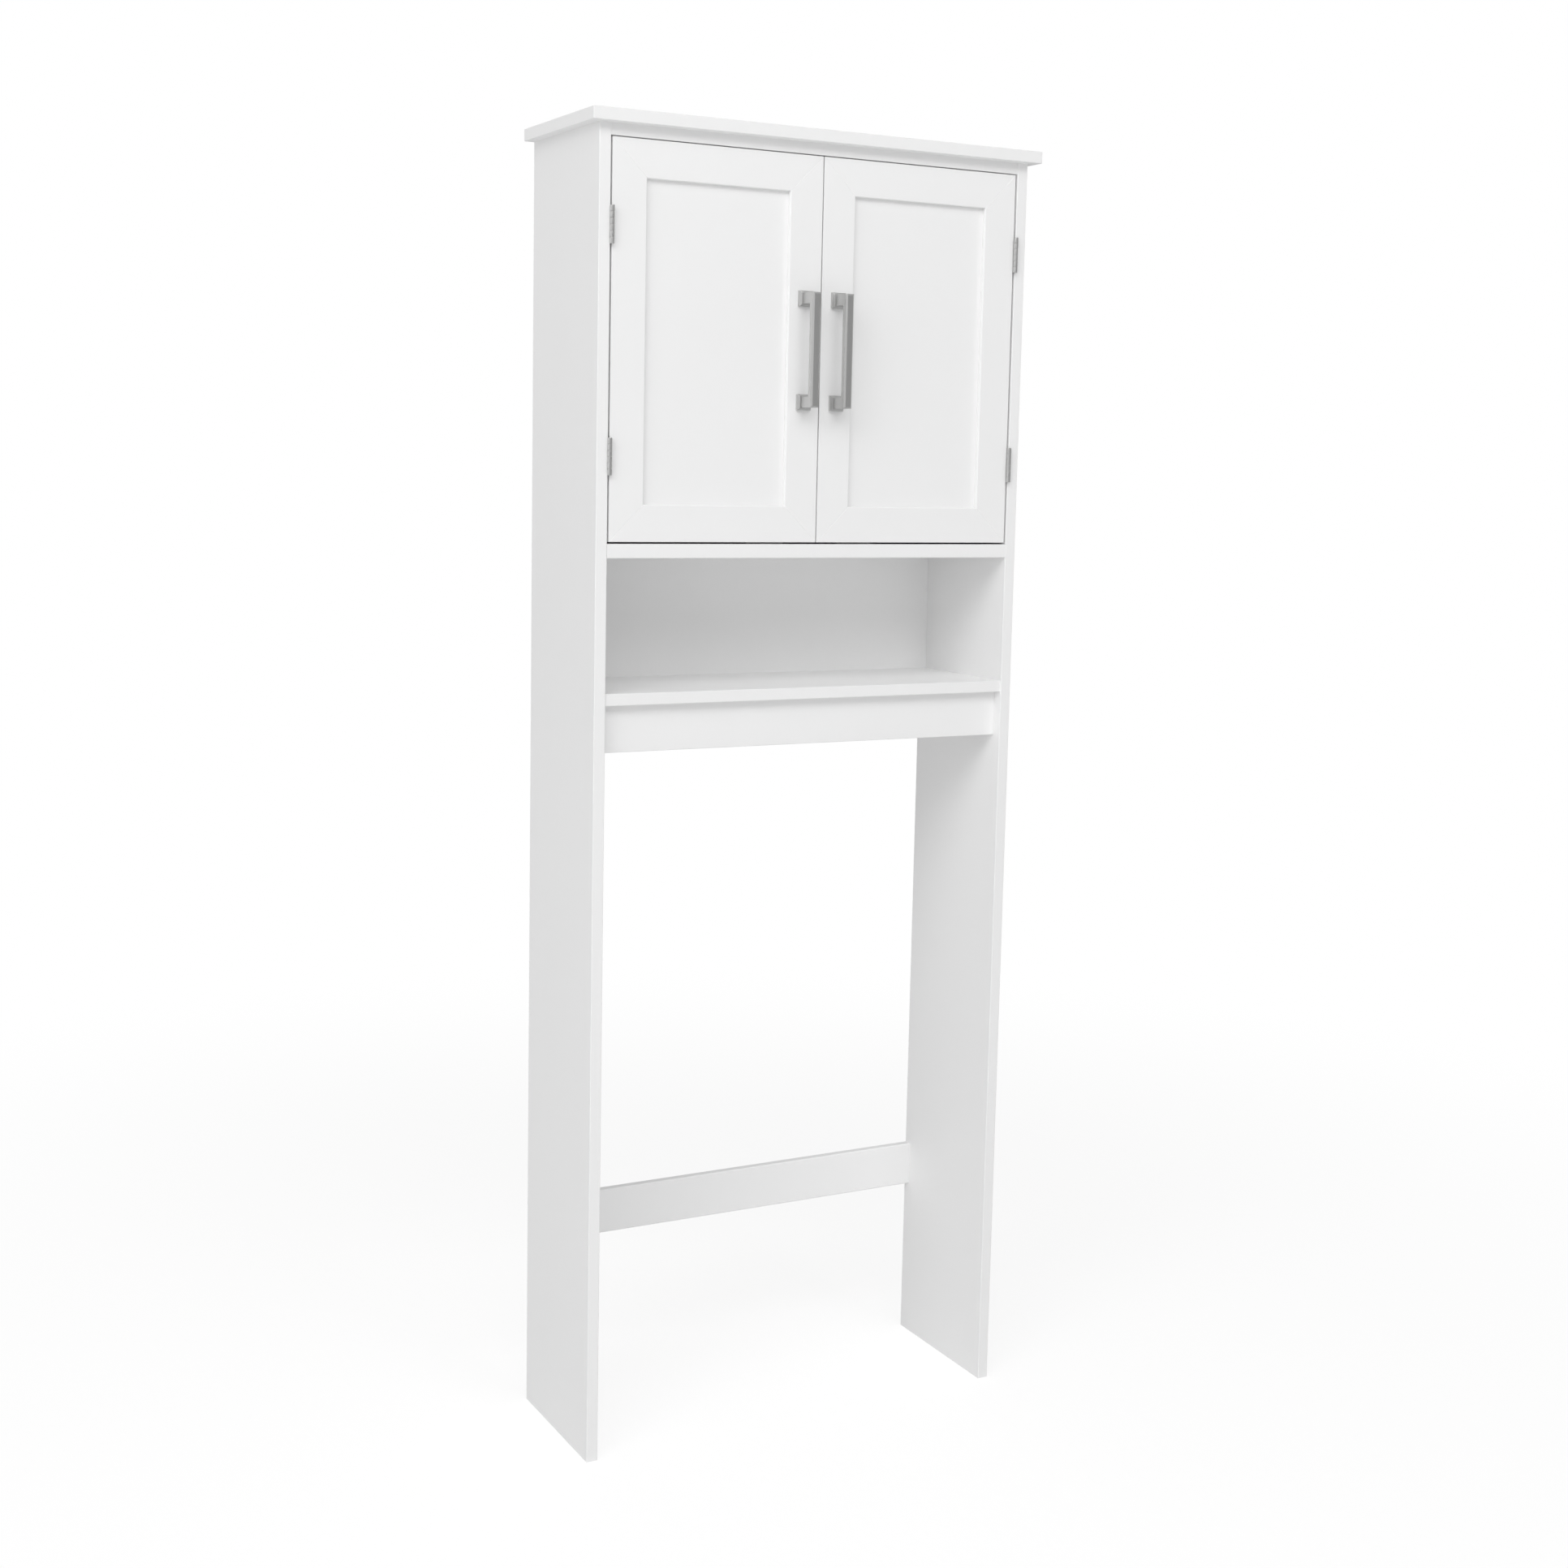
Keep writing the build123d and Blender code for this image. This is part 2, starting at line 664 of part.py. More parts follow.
# Strike plate on the back of the door's bottom rail, held by one countersunk screw
strike_face = Plane((catch_x, door_back + strike_thick, strike_level), z_dir=(0, 1, 0))
with BuildPart() as strike_plate:
    with BuildSketch(Plane.XZ.offset(-door_back)):
        with Locations((catch_x, strike_level)):
            RectangleRounded(strike_width, strike_height, strike_thick)
    extrude(amount=-strike_thick)
    with Locations(strike_face):
        countersink(strike_thick)
save_pair(strike_plate.part, "strike_plate")

with BuildPart() as strike_screw:
    with Locations(strike_face):
        add(countersunk_screw(strike_thick))
save_pair(strike_screw.part, "strike_screw")

# Magnetic catch: a footed plastic housing on the cabinet floor with a magnet in its front pocket
with BuildPart() as catch_housing:
    with BuildSketch(Plane.XZ.offset(-catch_front)):
        with Locations((catch_x, floor_top)):
            Rectangle(catch_foot_width, catch_foot_thick, align=(Align.CENTER, Align.MIN))
            Rectangle(catch_body_width, catch_height, align=(Align.CENTER, Align.MIN))
    extrude(amount=-catch_depth)
    fillet(catch_housing.edges().filter_by(Axis.Y).group_by(Axis.Z)[-1], edge_ease)
    with BuildSketch(Plane.XZ.offset(-catch_front)):
        with Locations((catch_x, strike_level)):
            Rectangle(magnet_width + 2 * fit, magnet_height + 2 * fit)
    extrude(amount=-(magnet_depth - magnet_proud + fit), mode=Mode.SUBTRACT)
    for x in catch_screw_x:
        with Locations(Plane((x, catch_screw_y, floor_top + catch_foot_thick))):
            Hole(wood_screw_radius + fit, catch_foot_thick)
save_pair(catch_housing.part, "catch_housing")

with BuildPart() as catch_magnet:
    with BuildSketch(Plane.XZ.offset(-(catch_front - magnet_proud))):
        with Locations((catch_x, strike_level)):
            Rectangle(magnet_width, magnet_height)
    extrude(amount=-magnet_depth)
save_pair(catch_magnet.part, "catch_magnet")

with BuildPart() as catch_screws:
    for x in catch_screw_x:
        with Locations((x, catch_screw_y, floor_top + catch_foot_thick)):
            Cylinder(pan_head_radius, pan_head_height, align=(Align.CENTER, Align.CENTER, Align.MIN))
            Cylinder(wood_screw_radius, wood_screw_length, align=(Align.CENTER, Align.CENTER, Align.MAX))
    mirror(about=Plane.YZ)
save(catch_screws.part, "catch_screws")
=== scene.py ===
import math

import bmesh
import bpy
from mathutils import Matrix, Vector


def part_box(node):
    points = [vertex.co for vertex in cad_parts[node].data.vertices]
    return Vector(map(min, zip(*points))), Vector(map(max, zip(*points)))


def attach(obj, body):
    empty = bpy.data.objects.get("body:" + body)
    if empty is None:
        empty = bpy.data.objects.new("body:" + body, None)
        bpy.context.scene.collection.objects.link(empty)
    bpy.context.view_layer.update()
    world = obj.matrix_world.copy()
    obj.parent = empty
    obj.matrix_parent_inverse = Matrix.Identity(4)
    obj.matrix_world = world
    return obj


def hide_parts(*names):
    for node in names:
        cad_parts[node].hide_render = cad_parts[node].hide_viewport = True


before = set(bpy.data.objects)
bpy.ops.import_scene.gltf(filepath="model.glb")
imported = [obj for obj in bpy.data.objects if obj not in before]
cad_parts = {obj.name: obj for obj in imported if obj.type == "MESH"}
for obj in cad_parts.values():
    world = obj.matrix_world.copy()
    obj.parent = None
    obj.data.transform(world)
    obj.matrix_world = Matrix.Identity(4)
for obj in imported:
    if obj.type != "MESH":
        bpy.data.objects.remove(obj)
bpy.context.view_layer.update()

# Side panels: two tall boards that stand on the floor and carry every other piece.
# Particle board with eased arrises, sprayed with a satin white lacquer that dries with a fine
# orange peel, a few specks and slow changes of gloss.


def add_node(tree, kind, **settings):
    """One shader node of a tree, with its settings and plain input values."""
    node = tree.nodes.new(kind)
    for name, value in settings.items():
        if name in node.inputs:
            node.inputs[name].default_value = value
        else:
            setattr(node, name, value)
    return node


def feed(tree, socket, value):
    """Join an input to another node's output, or give it a plain value."""
    if isinstance(value, bpy.types.NodeSocket):
        tree.links.new(value, socket)
    else:
        socket.default_value = value


def noise(tree, place, per_metre, detail=2.0, roughness=0.5):
    """A cloudy pattern over a place, with so many lumps to the metre."""
    node = add_node(tree, "ShaderNodeTexNoise", Detail=detail, Roughness=roughness)
    feed(tree, node.inputs["Vector"], place)
    feed(tree, node.inputs["Scale"], per_metre)
    return node.outputs["Fac"]


def spread(tree, value, low, high, start=0.0, end=1.0):
    """A value between start and end, carried to between low and high."""
    node = add_node(tree, "ShaderNodeMapRange", **{"From Min": start, "From Max": end})
    for socket, content in (("Value", value), ("To Min", low), ("To Max", high)):
        feed(tree, node.inputs[socket], content)
    return node.outputs["Result"]


def combine(tree, operation, first, second):
    """Two values brought together by one operation."""
    node = add_node(tree, "ShaderNodeMath", operation=operation)
    feed(tree, node.inputs[0], first)
    feed(tree, node.inputs[1], second)
    return node.outputs["Value"]


def blend(tree, share, first, second, way="MIX"):
    """Two colours laid over each other, by the share of the second."""
    node = add_node(tree, "ShaderNodeMix", data_type="RGBA", blend_type=way)
    for socket, content in (("Factor", share), ("A", first), ("B", second)):
        feed(tree, node.inputs[socket], content)
    return node.outputs["Result"]


def pattern_group(name, inputs):
    """An empty node group for a surface pattern that gives a tone, a change of gloss and a height."""
    group = bpy.data.node_groups.new(name, "ShaderNodeTree")
    for socket, value in inputs.items():
        entry = group.interface.new_socket(socket, in_out="INPUT", socket_type="NodeSocketFloat")
        entry.default_value = value
    for socket in ("Tone", "Gloss change", "Height"):
        group.interface.new_socket(socket, in_out="OUTPUT", socket_type="NodeSocketFloat")
    asked = group.nodes.new("NodeGroupInput").outputs
    result = group.nodes.new("NodeGroupOutput").inputs
    return group, asked, result


def sprayed_coat():
    """Group for a sprayed coat: slow tone and gloss changes, orange peel and caught specks."""
    tone_low, tone_high = 0.985, 1.005
    cloud_gloss = 0.05
    peel_gloss = 0.03
    specks_per_metre = 900.0
    speck_start, speck_full = 0.78, 0.84
    speck_shade = 0.02
    speck_rise = 0.8
    group, asked, result = pattern_group("sprayed_coat", {"Peel per metre": 420.0, "Cloud per metre": 5.0})
    place = add_node(group, "ShaderNodeTexCoord").outputs["Object"]
    clouds = noise(group, place, asked["Cloud per metre"], detail=3.0)
    peel = noise(group, place, asked["Peel per metre"], detail=1.0)
    specks = noise(group, place, specks_per_metre, detail=0.0)
    specks = spread(group, specks, 0.0, 1.0, speck_start, speck_full)
    clear_tone = spread(group, clouds, tone_low, tone_high)
    tone = combine(group, "SUBTRACT", clear_tone, combine(group, "MULTIPLY", specks, speck_shade))
    feed(group, result["Tone"], tone)
    slow_gloss = spread(group, clouds, -cloud_gloss, cloud_gloss)
    gloss = combine(group, "ADD", slow_gloss, spread(group, peel, -peel_gloss, peel_gloss))
    feed(group, result["Gloss change"], gloss)
    height = combine(group, "ADD", peel, combine(group, "MULTIPLY", specks, speck_rise))
    feed(group, result["Height"], height)
    return group


def blank_finish(name):
    """A new material, its node tree and its shader."""
    material = bpy.data.materials.new(name)
    material.use_nodes = True
    return material, material.node_tree, material.node_tree.nodes["Principled BSDF"]


def raise_surface(tree, shader, height, strength, depth):
    """Let a height pattern raise and sink the surface."""
    bump = add_node(tree, "ShaderNodeBump", Strength=strength, Distance=depth)
    feed(tree, bump.inputs["Height"], height)
    feed(tree, shader.inputs["Normal"], bump.outputs["Normal"])


def lay_pattern(tree, shader, pattern, colour, roughness, strength, depth):
    """Lay a pattern's tone, gloss changes and height on a plain colour and roughness."""
    toned = blend(tree, 1.0, (*colour, 1.0), pattern.outputs["Tone"], "MULTIPLY")
    feed(tree, shader.inputs["Base Color"], toned)
    rough = combine(tree, "ADD", pattern.outputs["Gloss change"], roughness)
    feed(tree, shader.inputs["Roughness"], rough)
    raise_surface(tree, shader, pattern.outputs["Height"], strength, depth)


spray_group = sprayed_coat()


def coated(name, colour, roughness, peel_per_metre, peel_depth):
    """A sprayed or moulded finish: its colour, gloss and orange peel."""
    peel_strength = 0.35
    material, tree, shader = blank_finish(name)
    coat = add_node(tree, "ShaderNodeGroup", node_tree=spray_group)
    coat.inputs["Peel per metre"].default_value = peel_per_metre
    lay_pattern(tree, shader, coat, colour, roughness, peel_strength, peel_depth)
    return material


def dress(material, *names):
    """Put a finish on CAD nodes."""
    for name in names:
        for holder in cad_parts[name].material_slots:
            holder.material = material


white_lacquer = coated(
    "white_lacquer", colour=(0.93, 0.93, 0.93), roughness=0.45, peel_per_metre=420.0, peel_depth=0.00012
)
dress(white_lacquer, "left_side_panel", "right_side_panel")

# Boards across the cabinet: top, slim rail under it, cabinet floor, shelves, apron and stretcher.
# The same lacquered board, cut to length. All but the loose inner shelf are drawn tight to the sides by
# fittings inside the boards.
dress(white_lacquer, "top_board", "top_front_rail", "cabinet_floor", "open_shelf")
dress(white_lacquer, "apron_rail", "rear_stretcher", "inner_shelf")

# Back panel: a thin hardboard sheet slid into grooves before the top goes on.
# Its front has the white finish, and its back is left raw, brown and pressed on a wire screen.


def hardboard():
    """White in front, raw brown fibre with a screen pattern behind."""
    white = (0.97, 0.97, 0.97, 1.0)
    white_roughness = 0.5
    fibre_dark = (0.19, 0.105, 0.055, 1.0)
    fibre_light = (0.33, 0.20, 0.115, 1.0)
    fibres_per_metre = 150.0
    fibre_start, fibre_full = 0.3, 0.7
    raw_roughness = 0.85
    screen_per_metre = 260.0
    screen_wander = 0.4
    screen_rise = 1.5
    press_strength = 0.4
    press_depth = 0.0002
    faces_back = 0.5
    material, tree, shader = blank_finish("faced_hardboard")
    coords = add_node(tree, "ShaderNodeTexCoord")
    place = coords.outputs["Object"]
    coat = add_node(tree, "ShaderNodeGroup", node_tree=spray_group)
    facing = add_node(tree, "ShaderNodeSeparateXYZ")
    feed(tree, facing.inputs["Vector"], coords.outputs["Normal"])
    raw = combine(tree, "GREATER_THAN", facing.outputs["Y"], faces_back)

    fibres = noise(tree, place, fibres_per_metre, detail=6.0, roughness=0.7)
    fibre_share = spread(tree, fibres, 0.0, 1.0, fibre_start, fibre_full)
    fibre_colour = blend(tree, fibre_share, fibre_dark, fibre_light)
    front_colour = blend(tree, 1.0, white, coat.outputs["Tone"], "MULTIPLY")
    feed(tree, shader.inputs["Base Color"], blend(tree, raw, front_colour, fibre_colour))
    front_roughness = combine(tree, "ADD", coat.outputs["Gloss change"], white_roughness)
    feed(tree, shader.inputs["Roughness"], spread(tree, raw, front_roughness, raw_roughness))

    screen = screen_rise
    for direction in ("X", "Z"):
        wires = add_node(tree, "ShaderNodeTexWave", bands_direction=direction, Distortion=screen_wander)
        feed(tree, wires.inputs["Vector"], place)
        feed(tree, wires.inputs["Scale"], screen_per_metre)
        screen = combine(tree, "MULTIPLY", screen, wires.outputs["Fac"])
    back_height = combine(tree, "ADD", screen, fibres)
    height = spread(tree, raw, coat.outputs["Height"], back_height)
    raise_surface(tree, shader, height, press_strength, press_depth)
    return material


dress(hardboard(), "back_panel")

# Joinery inside the boards: zinc cams that turn in pockets, steel bolts that they pull on, beech dowels.
# The cams show under the boards and at the top of the sides' inner faces, the bolts and dowels not at all,
# but each has its own finish.


def brushed_grain():
    """Group for brushed or rolled metal: long fine scratches along one axis and slow gloss changes."""
    tone_low, tone_high = 0.95, 1.04
    scratch_start, scratch_full = 0.25, 0.75
    scratch_gloss = 0.05
    clouds_per_metre = 60.0
    cloud_gloss = 0.03
    group, asked, result = pattern_group(
        "brushed_grain", {"Along X": 1.0, "Along Y": 1.0, "Along Z": 0.03, "Lines per metre": 2600.0}
    )
    place = add_node(group, "ShaderNodeTexCoord").outputs["Object"]
    stretch = add_node(group, "ShaderNodeCombineXYZ")
    for axis in "XYZ":
        feed(group, stretch.inputs[axis], asked[f"Along {axis}"])
    drawn = add_node(group, "ShaderNodeVectorMath", operation="MULTIPLY")
    feed(group, drawn.inputs[0], place)
    feed(group, drawn.inputs[1], stretch.outputs["Vector"])
    scratches = noise(group, drawn.outputs["Vector"], asked["Lines per metre"])
    clouds = noise(group, place, clouds_per_metre)
    tone = spread(group, scratches, tone_low, tone_high, scratch_start, scratch_full)
    feed(group, result["Tone"], tone)
    fine_gloss = spread(group, scratches, -scratch_gloss, scratch_gloss, scratch_start, scratch_full)
    gloss = combine(group, "ADD", fine_gloss, spread(group, clouds, -cloud_gloss, cloud_gloss))
    feed(group, result["Gloss change"], gloss)
    feed(group, result["Height"], scratches)
    return group


grain_group = brushed_grain()


def metal(name, colour, roughness, stretch, lines_per_metre, scratch_depth):
    """A metal finish with scratches stretched along one axis."""
    scratch_strength = 0.3
    material, tree, shader = blank_finish(name)
    shader.inputs["Metallic"].default_value = 1.0
    grain = add_node(tree, "ShaderNodeGroup", node_tree=grain_group)
    for axis, value in zip("XYZ", stretch):
        grain.inputs[f"Along {axis}"].default_value = value
    grain.inputs["Lines per metre"].default_value = lines_per_metre
    lay_pattern(tree, shader, grain, colour, roughness, scratch_strength, scratch_depth)
    return material


def beech():
    """Turned beech: fine pores and streaks along the dowel."""
    dark = (0.42, 0.26, 0.14, 1.0)
    pale = (0.60, 0.41, 0.25, 1.0)
    along_dowel = (0.08, 1.0, 1.0)
    pores_per_metre = 1800.0
    pore_start, pore_full = 0.35, 0.6
    pore_roughness, wood_roughness = 0.75, 0.55
    pore_strength = 0.3
    pore_depth = 0.0001
    material, tree, shader = blank_finish("beech")
    drawn = add_node(tree, "ShaderNodeVectorMath", operation="MULTIPLY")
    feed(tree, drawn.inputs[0], add_node(tree, "ShaderNodeTexCoord").outputs["Object"])
    feed(tree, drawn.inputs[1], along_dowel)
    pores = noise(tree, drawn.outputs["Vector"], pores_per_metre, detail=4.0)
    pale_share = spread(tree, pores, 0.0, 1.0, pore_start, pore_full)
    feed(tree, shader.inputs["Base Color"], blend(tree, pale_share, dark, pale))
    feed(tree, shader.inputs["Roughness"], spread(tree, pores, pore_roughness, wood_roughness))
    raise_surface(tree, shader, pores, pore_strength, pore_depth)
    return material


cast_zinc = metal(
    "cast_zinc", colour=(0.46, 0.47, 0.48), roughness=0.5,
    stretch=(1.0, 1.0, 1.0), lines_per_metre=900.0, scratch_depth=0.00008,
)
plated_steel = metal(
    "plated_steel", colour=(0.66, 0.66, 0.65), roughness=0.28,
    stretch=(1.0, 1.0, 0.2), lines_per_metre=1500.0, scratch_depth=0.00003,
)
dress(cast_zinc, "cam_locks")
dress(plated_steel, "cam_bolts")
dress(beech(), "wood_dowels")

# Shelf pins: four plated steel pins, each a round shank with a flat-topped head under the inner shelf.
# They are pushed by hand into rows of bores in the sides, so that the shelf can be moved.
dress(plated_steel, "shelf_pins")

# Doors: four mitred frame members round a flat panel that floats in their grooves.
# Sprayed after assembly with the cabinet's own lacquer, so the mitres show only as hairlines.
for side in ("left", "right"):
    for member in ("hinge_stile", "pull_stile", "door_top_rail", "door_bottom_rail", "door_panel"):
        dress(white_lacquer, f"{side}_{member}")

# Bar pulls: square bars on two legs, each leg on a bevelled square base, cast in one and brushed.
# Satin nickel, brushed along the bar, with edges broken so that they catch a thin line of light.
# Each is screwed from behind to the pull stile of its door.
pull_base = 0.0195
pull_base_thick = 0.0065
pull_base_bevel = 0.0026
pull_leg = 0.0136
pull_width = 0.0116
bar_depth = 0.0085
bar_bevel = 0.002
broken_edge = 0.0003
broken_angle = 0.5


def corners(node):
    """The lowest and the highest corner of a CAD node's box."""
    return [Vector(point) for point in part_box(node)]


def soften(data, offset, segments, sharp):
    """Round the edges that are sharper than an angle in radians, and shade the rest smooth."""
    merge_gap = 0.000005
    edges = [edge for edge in data.edges if edge.calc_face_angle(0.0) > sharp]
    bmesh.ops.bevel(
        data, geom=edges, offset=offset, segments=segments, profile=0.5, affect="EDGES", clamp_overlap=True
    )
    bmesh.ops.remove_doubles(data, verts=data.verts, dist=merge_gap)
    bmesh.ops.dissolve_degenerate(data, dist=merge_gap, edges=data.edges)
    for face in data.faces:
        face.smooth = True


def even_shading(mesh):
    """Let the broad faces set the shading at the rounded edges, so that flat faces look flat."""
    normals = [Vector() for _ in mesh.vertices]
    for polygon in mesh.polygons:
        for index in polygon.vertices:
            normals[index] += polygon.normal * polygon.area
    mesh.normals_split_custom_set_from_vertices([normal.normalized() for normal in normals])


def finished(data, name, material, slot, body, *nodes):
    """Turn mesh data into a piece that rides on a body and stands for CAD nodes."""
    crease = math.radians(40)
    bmesh.ops.recalc_face_normals(data, faces=data.faces)
    mesh = bpy.data.meshes.new(name)
    data.to_mesh(mesh)
    data.free()
    mesh.set_sharp_from_angle(angle=crease)
    mesh.materials.append(material)
    piece = bpy.data.objects.new(name, mesh)
    bpy.context.scene.collection.objects.link(piece)
    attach(piece, body)
    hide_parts(*nodes)
    return piece


def skin(data, rings, first_cap=True):
    """Quads between successive rings of vertices, with a cap at the last and as a rule at the first."""
    for lower, upper in zip(rings, rings[1:]):
        count = len(lower)
        for index in range(count):
            following = (index + 1) % count
            data.faces.new((lower[index], lower[following], upper[following], upper[index]))
    if first_cap:
        data.faces.new(reversed(rings[0]))
    data.faces.new(rings[-1])


def pull_mesh(low, high):
    """A pull that fills its box: X across, Y out of the door, Z along the bar."""
    middle_x = (low.x + high.x) / 2
    middle_z = (low.z + high.z) / 2
    centres = high.z - low.z - pull_base
    half_bar = (centres + pull_leg) / 2
    half = pull_width / 2
    face, tip = high.y, low.y
    data = bmesh.new()

    def corner(x, y, z):
        return data.verts.new((middle_x + x, y, middle_z + z))

    def ring(half_x, y, start, end):
        outline = ((-half_x, start), (half_x, start), (half_x, end), (-half_x, end))
        return [corner(x, y, z) for x, z in outline]

    def between(first, second):
        return [*first, *reversed(second)]

    # The bar in three layers from its back to its front, with left and right corners at four levels.
    stops = [-half_bar, -half_bar + pull_leg, half_bar - pull_leg, half_bar]
    front_stops = [stops[0] + bar_bevel, stops[1], stops[2], stops[3] - bar_bevel]
    layers = []
    for y, half_x, levels in (
        (tip + bar_depth, half, stops), (tip + bar_bevel, half, stops), (tip, half - bar_bevel, front_stops)
    ):
        layers.append([(corner(-half_x, y, z), corner(half_x, y, z)) for z in levels])
    for rear, fore in zip(layers, layers[1:]):
        for index in range(3):
            for side in (0, 1):
                strip = (rear[index], rear[index + 1], fore[index + 1], fore[index])
                data.faces.new([pair[side] for pair in strip])
        for end in (0, 3):
            data.faces.new(between(rear[end], fore[end]))
    back, front = layers[0], layers[2]
    for index in range(3):
        data.faces.new(between(front[index], front[index + 1]))
    data.faces.new(between(back[1], back[2]))

    # A leg at each end, from the back of the bar to a base that widens to the door.
    base_top = face - pull_base_thick
    half_base = pull_base / 2
    for first, second, level in ((0, 1, -centres / 2), (2, 3, centres / 2)):
        rings = [between(back[first], back[second]), ring(half, base_top, stops[first], stops[second])]
        for half_x, y in (
            (half_base - pull_base_bevel, base_top),
            (half_base, base_top + pull_base_bevel),
            (half_base, face),
        ):
            rings.append(ring(half_x, y, level - half_x, level + half_x))
        skin(data, rings, first_cap=False)
    bmesh.ops.recalc_face_normals(data, faces=data.faces)
    soften(data, broken_edge, segments=2, sharp=broken_angle)
    return data


brushed_nickel = metal(
    "brushed_nickel", colour=(0.61, 0.61, 0.605), roughness=0.37,
    stretch=(1.0, 1.0, 0.03), lines_per_metre=5200.0, scratch_depth=0.00003,
)
for side in ("left", "right"):
    node = f"{side}_pull"
    data = pull_mesh(*corners(node))
    pull = finished(data, f"{side}_bar_pull", brushed_nickel, "brushed_nickel", f"{side}_door", node)
    even_shading(pull.data)

# Butt hinges: two stamped leaves, each rolled round a loose pin in three of the six knuckles.
# Nickel-plated steel, one millimetre thick, jogged so that the barrel sits centred on the door's gap.
# One leaf is screwed to the side panel and the other to the edge of the door's hinge stile.
leaf_thick = 0.001
leaf_edge = 0.0003
leaf_angle = 1.0
plate_offset = 0.0007
barrel_radius = 0.00275
knuckles = 6
knuckle_gap = 0.0003
roll_turn = math.radians(292)
roll_steps = 22
jog_steps = 5
pin_clearance = 0.00025
pin_dome = 0.0006
dome_shares = ((0.45, 0.0), (0.85, 1 / 3), (1.0, 1.0))
carcass_front = corners("left_side_panel")[0].y


def leaf_side(side, kind):
    """Which way a leaf's open face looks: 1 to the right, -1 to the left."""
    return {"left": 1, "right": -1}[side] * {"case": 1, "door": -1}[kind]


def pin_axis(side, place):
    """Where a hinge's pin stands, as X and Y."""
    low, high = corners(f"{side}_{place}_hinge_pin")
    return ((low + high) / 2).xy


def leaf_path(axis, plate_x, plate_front, way):
    """Middle line of the strip, from the plate's front edge through the jog and round the pin."""
    radius = barrel_radius - leaf_thick / 2
    points = []
    for step in range(jog_steps):
        share = step / jog_steps
        ease = share * share * (3 - 2 * share)
        x = plate_x + (axis.x - way * radius - plate_x) * ease
        points.append(Vector((x, plate_front + (axis.y - plate_front) * share)))
    for step in range(roll_steps + 1):
        angle = roll_turn * step / roll_steps
        x = axis.x - way * radius * math.cos(angle)
        points.append(Vector((x, axis.y - radius * math.sin(angle))))
    return points


def leaf_mesh(low, high, axis, first_knuckle, way):
    """One leaf: a flat plate whose front edge runs on into three rolled knuckles."""
    pitch = (high.z - low.z) / knuckles
    plate_x = axis.x - way * plate_offset
    plate_front = carcass_front + knuckle_gap
    path = leaf_path(axis, plate_x, plate_front, way)
    half = leaf_thick / 2
    data = bmesh.new()

    # The plate in bands by turns as high as a knuckle and as the gap between two knuckles.
    levels = []
    for index in range(knuckles):
        start = low.z + index * pitch
        levels += [start + knuckle_gap / 2, start + pitch - knuckle_gap / 2]
    levels[0], levels[-1] = low.z, high.z
    outline = ((-1, high.y), (1, high.y), (1, plate_front), (-1, plate_front))
    rows = [[data.verts.new((plate_x + sign * half, y, z)) for sign, y in outline] for z in levels]
    data.faces.new(rows[0])
    data.faces.new(rows[-1])
    for index, (row, above) in enumerate(zip(rows, rows[1:])):
        rolled = index % 2 == 0 and (index // 2) % 2 == first_knuckle
        for corner in range(4):
            if corner == 2 and rolled:
                continue
            following = (corner + 1) % 4
            data.faces.new((row[corner], row[following], above[following], above[corner]))
        if not rolled:
            continue

        # The strip that goes on from this band and rolls up into the knuckle.
        rings = [[row[2], row[3], above[3], above[2]]]
        section = ((1, levels[index]), (-1, levels[index]), (-1, levels[index + 1]), (1, levels[index + 1]))
        for place, (previous, point) in enumerate(zip(path, path[1:])):
            ahead = path[place + 2] if place + 2 < len(path) else point
            run = (ahead - previous).normalized()
            out = Vector((-run.y, run.x)) * half
            rings.append([data.verts.new((*(point + sign * out), z)) for sign, z in section])
        skin(data, rings, first_cap=False)
    bmesh.ops.recalc_face_normals(data, faces=data.faces)
    return data


def turned(data, matrix, profile, first_cap=True):
    """A turned solid from (radius, z) stations in a frame, and its rings of vertices."""
    steps = 24
    angles = [2 * math.pi * step / steps for step in range(steps)]
    rings = []
    for radius, z in profile:
        places = [Vector((radius * math.cos(angle), radius * math.sin(angle), z)) for angle in angles]
        rings.append([data.verts.new(matrix @ place) for place in places])
    skin(data, rings, first_cap=first_cap)
    return rings


def pin_profile(low_z, high_z):
    """Stations (radius, z) of a pin from one domed end to the other."""
    radius = barrel_radius - leaf_thick - pin_clearance
    dome = [(radius * across, pin_dome * rise) for across, rise in dome_shares]
    lower = [(across, low_z + rise) for across, rise in dome]
    upper = [(across, high_z - rise) for across, rise in reversed(dome)]
    return lower + upper


hinge_nickel = metal(
    "hinge_nickel", colour=(0.66, 0.66, 0.655), roughness=0.32,
    stretch=(1.0, 1.0, 0.15), lines_per_metre=1800.0, scratch_depth=0.00003,
)
for side in ("left", "right"):
    for place in ("upper", "lower"):
        axis = pin_axis(side, place)
        for kind, first_knuckle, body in (("case", 0, "cabinet"), ("door", 1, f"{side}_door")):
            node = f"{side}_{place}_{kind}_leaf"
            data = leaf_mesh(*corners(node), axis, first_knuckle, leaf_side(side, kind))
            soften(data, leaf_edge, segments=1, sharp=leaf_angle)
            leaf = finished(data, f"{node}_rolled", hinge_nickel, "plated_steel", body, node)
            even_shading(leaf.data)
        node = f"{side}_{place}_hinge_pin"
        low, high = corners(node)
        data = bmesh.new()
        turned(data, Matrix.Translation((axis.x, axis.y, 0.0)), pin_profile(low.z, high.z))
        finished(data, f"{side}_{place}_loose_pin", hinge_nickel, "plated_steel", "cabinet", node)

